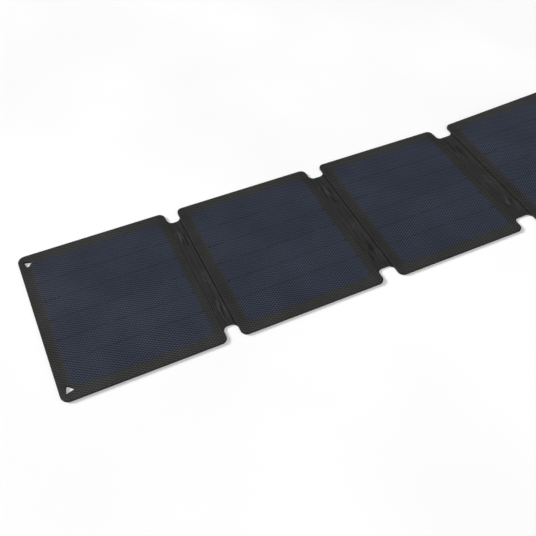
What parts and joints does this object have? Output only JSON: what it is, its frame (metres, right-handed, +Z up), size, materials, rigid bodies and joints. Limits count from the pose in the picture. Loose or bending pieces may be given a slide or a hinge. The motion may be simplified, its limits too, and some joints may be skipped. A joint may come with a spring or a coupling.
{
  "type": "folding solar panel",
  "caption": "Folding camping solar charger: rigid cell leaves joined by cloth fold hinges, with a USB output box under the last leaf and tie-down holes in the outer corners.",
  "frame": {"origin": "on the ground under the middle of the open strip", "axes": "+X along the strip from the first leaf to the leaf with the output box, +Y from the front edge to the back edge, +Z up, cells facing up"},
  "size_m": [0.7962, 0.21, 0.0154],
  "materials": {
    "back_fabric": "woven, matt",
    "core_board": "glass-fibre board, matt",
    "copper": "tinned copper ribbon",
    "encapsulant": "clear resin over black",
    "cells": "dark blue silicon",
    "front_film": "textured, satin",
    "hinge_web": "coated cloth, smooth",
    "box_plastic": "fine spark texture",
    "rubber": "matt",
    "screw_steel": "blackened",
    "circuit": "solder mask",
    "coil": "moulded ferrite",
    "can": "satin",
    "socket_steel": "nickel plated",
    "socket_plastic": "moulded",
    "lens": "clear, polished"
  },
  "bodies": {
    "leaf_1": {"back_fabric_1": "back_fabric", "core_board_1": "core_board", "leads_1": "copper", "encapsulant_1": "encapsulant", "cell_tabs_1": "copper", "cell_strips_1": "cells", "front_film_1": "front_film", "hinge_web_1_left": "hinge_web"},
    "leaf_2": {"back_fabric_2": "back_fabric", "core_board_2": "core_board", "leads_2": "copper", "encapsulant_2": "encapsulant", "cell_tabs_2": "copper", "cell_strips_2": "cells", "front_film_2": "front_film", "hinge_web_1_right": "hinge_web", "hinge_web_2_left": "hinge_web"},
    "leaf_3": {"back_fabric_3": "back_fabric", "core_board_3": "core_board", "leads_3": "copper", "encapsulant_3": "encapsulant", "cell_tabs_3": "copper", "cell_strips_3": "cells", "front_film_3": "front_film", "hinge_web_2_right": "hinge_web", "hinge_web_3_left": "hinge_web"},
    "leaf_4": {"back_fabric_4": "back_fabric", "core_board_4": "core_board", "leads_4": "copper", "encapsulant_4": "encapsulant", "cell_tabs_4": "copper", "cell_strips_4": "cells", "front_film_4": "front_film", "hinge_web_3_right": "hinge_web", "box_base": "box_plastic", "box_lid": "box_plastic", "lid_seal": "rubber", "lid_screws": "screw_steel", "circuit_board": "circuit", "power_coil": "coil", "capacitors": "can", "usb_a_shell": "socket_steel", "usb_a_insert": "socket_plastic", "usb_c_shell": "socket_steel", "usb_c_insert": "socket_plastic", "status_lens": "lens", "cover_pin": "screw_steel"},
    "port_cover": {"port_cover": "rubber"}
  },
  "joints": [
    {"name": "fold_3", "type": "hinge", "parent": "leaf_4", "child": "leaf_3", "pos_m": [0.20236, 0, 0.003], "axis": [0, 1, 0], "range_deg": [0, 176.21]},
    {"name": "fold_2", "type": "hinge", "parent": "leaf_3", "child": "leaf_2", "pos_m": [-0.00439, 0, -0.0005], "axis": [0, -1, 0], "range_deg": [0, 179.9]},
    {"name": "fold_1", "type": "hinge", "parent": "leaf_2", "child": "leaf_1", "pos_m": [-0.20664, 0, 0.003], "axis": [0, 1, 0], "range_deg": [0, 179.9]},
    {"name": "cover_swing", "type": "hinge", "parent": "leaf_4", "child": "port_cover", "pos_m": [0.39527, -0.01955, 0.00775], "axis": [0.066, 0, -0.9978], "range_deg": [0, 110]}
  ]
}
